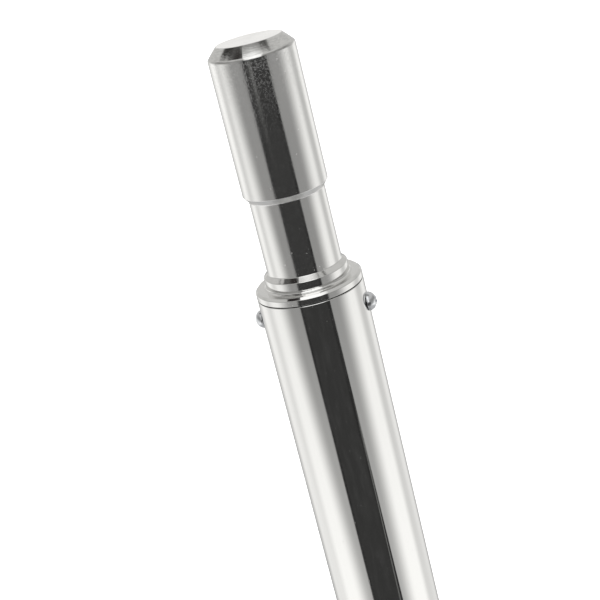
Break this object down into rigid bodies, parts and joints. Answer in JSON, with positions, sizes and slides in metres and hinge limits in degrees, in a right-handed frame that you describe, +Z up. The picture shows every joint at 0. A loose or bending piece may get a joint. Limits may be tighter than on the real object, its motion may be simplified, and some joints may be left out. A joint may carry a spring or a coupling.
{
  "type": "carpet knee kicker",
  "caption": "Carpet knee kicker: bare turned aluminium butt spigot in a polished tube, telescoping bar with trigger lock, wedge gripping head with depth dial.",
  "frame": {"origin": "centre of the flat rear end face of the butt spigot, on the tube axis", "axes": "+X forward along the tube to the gripping head, +Y left, +Z up and away from the carpet"},
  "size_m": [0.51, 0.127, 0.0721],
  "materials": {
    "turned_aluminium": "bright turned, fine circumferential tool marks",
    "polished_tube": "mirror polished, fine lengthwise lines",
    "zinc_fastener": "bright zinc plated, faint blue tint",
    "acetal": "natural white moulded",
    "machined_aluminium": "machined, lightly bead blasted",
    "hard_steel": "ground",
    "spring_steel": "drawn wire",
    "nickel_steel": "nickel plated",
    "lever_paint": "black powder coat",
    "chromed_bar": "hard chrome",
    "cast_aluminium": "fine sand cast, edges polished",
    "plate_steel": "brushed plate",
    "black_nylon": "moulded",
    "dial_aluminium": "turned and knurled",
    "scale_enamel": "black enamel with bright marks"
  },
  "bodies": {
    "handle": {"spigot": "turned_aluminium", "tube": "polished_tube", "plug_screws": "zinc_fastener", "guide_bush": "acetal", "lock_collar": "machined_aluminium", "collar_screws": "zinc_fastener", "lock_spring": "spring_steel", "spring_cap": "nickel_steel", "trigger_pivot_pin": "nickel_steel"},
    "bar_and_head": {"inner_bar": "chromed_bar", "slide_ring": "acetal", "slide_ring_pin": "hard_steel", "head_body": "cast_aluminium", "head_bolts": "zinc_fastener", "head_nuts": "zinc_fastener", "base_plate": "plate_steel", "base_plate_screws": "zinc_fastener", "nap_grip_left": "black_nylon", "nap_grip_right": "black_nylon", "guide_dowels": "hard_steel", "spring_washer": "spring_steel", "scale_ring": "scale_enamel"},
    "trigger": {"trigger_lever": "lever_paint"},
    "plunger": {"lock_plunger": "hard_steel", "link_pin": "hard_steel"},
    "dial": {"depth_dial": "dial_aluminium", "dial_stem": "nickel_steel", "stem_ring": "spring_steel", "dial_screw": "zinc_fastener"},
    "carrier": {"pin_carrier": "plate_steel", "gripping_pins": "hard_steel"}
  },
  "joints": [
    {"name": "length_slide", "type": "slide", "parent": "handle", "child": "bar_and_head", "axis": [1, 0, 0], "range_m": [0, 0.1]},
    {"name": "trigger_press", "type": "hinge", "parent": "handle", "child": "trigger", "pos_m": [0.298, 0, 0.041], "axis": [0, -1, 0], "range_deg": [-12, 0]},
    {"name": "plunger_lift", "type": "slide", "parent": "handle", "child": "plunger", "axis": [0, 0, 1], "range_m": [-0.0028, 0], "stiffness_N_per_m": 250, "springref_m": -0.0045, "deforming": ["lock_spring"]},
    {"name": "dial_turn", "type": "hinge", "parent": "bar_and_head", "child": "dial", "pos_m": [0.475, 0, 0], "axis": [0, 0, -1], "range_deg": [0, 360]},
    {"name": "pin_feed", "type": "slide", "parent": "bar_and_head", "child": "carrier", "axis": [0, 0, -1], "range_m": [0, 0.005]}
  ],
  "couplings": [
    {"joint": "plunger_lift", "follows": "trigger_press", "m_per_rad": 0.013},
    {"joint": "pin_feed", "follows": "dial_turn", "m_per_rad": 0.00079}
  ]
}
